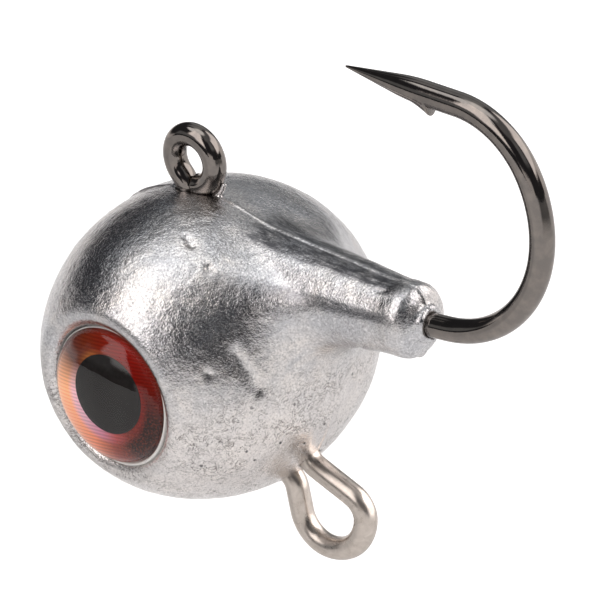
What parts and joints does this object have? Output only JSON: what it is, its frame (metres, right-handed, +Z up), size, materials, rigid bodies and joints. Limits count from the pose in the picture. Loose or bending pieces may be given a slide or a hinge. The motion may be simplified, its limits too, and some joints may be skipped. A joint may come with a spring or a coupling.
{
  "type": "jig head",
  "caption": "Cast lead ball jig head with a tapered bait-keeper collar, barbed jig hook, wire assist loop and glued dome eyes.",
  "frame": {"origin": "centre of the line eye's bore", "axes": "+X along the hook shank towards the bend, +Z up from the lead ball through the line eye, the two fish eyes look out along -Y and +Y"},
  "size_m": [0.0649, 0.037, 0.0569],
  "materials": {
    "cast_lead": "bare cast lead, satin with bright and dull patches",
    "black_nickel": "polished black nickel plate",
    "stainless_wire": "drawn stainless wire, bright",
    "adhesive": "soft pressure-sensitive adhesive",
    "iris_foil": "metallised orange film",
    "pupil_ink": "printed black",
    "clear_epoxy": "clear poured dome"
  },
  "bodies": {
    "root": {"lead_head": "cast_lead", "jig_hook": "black_nickel", "assist_loop": "stainless_wire", "eye_adhesive_left": "adhesive", "eye_adhesive_right": "adhesive", "eye_iris_foil_left": "iris_foil", "eye_iris_foil_right": "iris_foil", "eye_pupil_left": "pupil_ink", "eye_pupil_right": "pupil_ink", "eye_lens_left": "clear_epoxy", "eye_lens_right": "clear_epoxy"}
  },
  "joints": []
}
